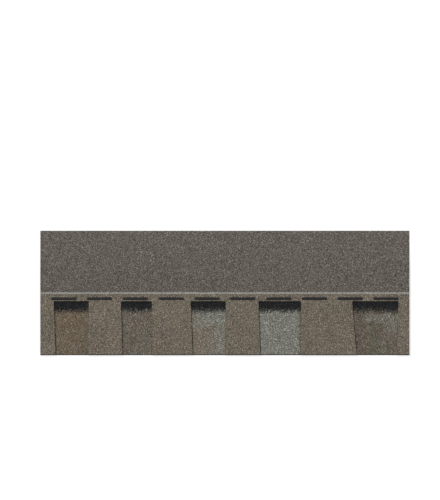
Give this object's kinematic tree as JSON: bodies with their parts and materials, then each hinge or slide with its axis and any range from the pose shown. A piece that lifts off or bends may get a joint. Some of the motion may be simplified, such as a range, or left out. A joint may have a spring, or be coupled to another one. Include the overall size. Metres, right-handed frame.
{
  "type": "laminated asphalt shingle",
  "caption": "Laminated asphalt roof shingle: granule-faced top sheet with flared tabs bonded over a backer strip that shows in the cut-outs, with a self-seal line and plain headlap.",
  "frame": {"origin": "middle of the rectangular outline, on the floor that the shingle lies on", "axes": "+X along the course, +Y up the roof slope from the butt edge to the upper edge, +Z out of the granule face"},
  "size_m": [1, 0.337, 0.0061],
  "materials": {
    "tab_granules": "coarse mineral granules, matt",
    "backer_granules": "coarse mineral granules, matt",
    "bond_adhesive": "asphalt adhesive, pressed flat",
    "seal_adhesive": "asphalt adhesive, glossy",
    "release_film": "thin film, slightly creased"
  },
  "bodies": {
    "root": {"backer_strip": "backer_granules", "bond_bead_lower": "bond_adhesive", "bond_bead_upper": "bond_adhesive", "release_film": "release_film", "seal_dash_01": "seal_adhesive", "seal_dash_02": "seal_adhesive", "seal_dash_03": "seal_adhesive", "seal_dash_04": "seal_adhesive", "seal_dash_05": "seal_adhesive", "seal_dash_06": "seal_adhesive", "seal_dash_07": "seal_adhesive", "seal_dash_08": "seal_adhesive", "seal_dash_09": "seal_adhesive", "seal_dash_10": "seal_adhesive", "tab_1_bead_butt": "bond_adhesive", "tab_1_bead_middle": "bond_adhesive", "tab_2_bead_butt": "bond_adhesive", "tab_2_bead_middle": "bond_adhesive", "tab_3_bead_butt": "bond_adhesive", "tab_3_bead_middle": "bond_adhesive", "tab_4_bead_butt": "bond_adhesive", "tab_4_bead_middle": "bond_adhesive", "tab_5_bead_butt": "bond_adhesive", "tab_5_bead_middle": "bond_adhesive", "tab_6_bead_butt": "bond_adhesive", "tab_6_bead_middle": "bond_adhesive", "top_sheet": "tab_granules"}
  },
  "joints": []
}
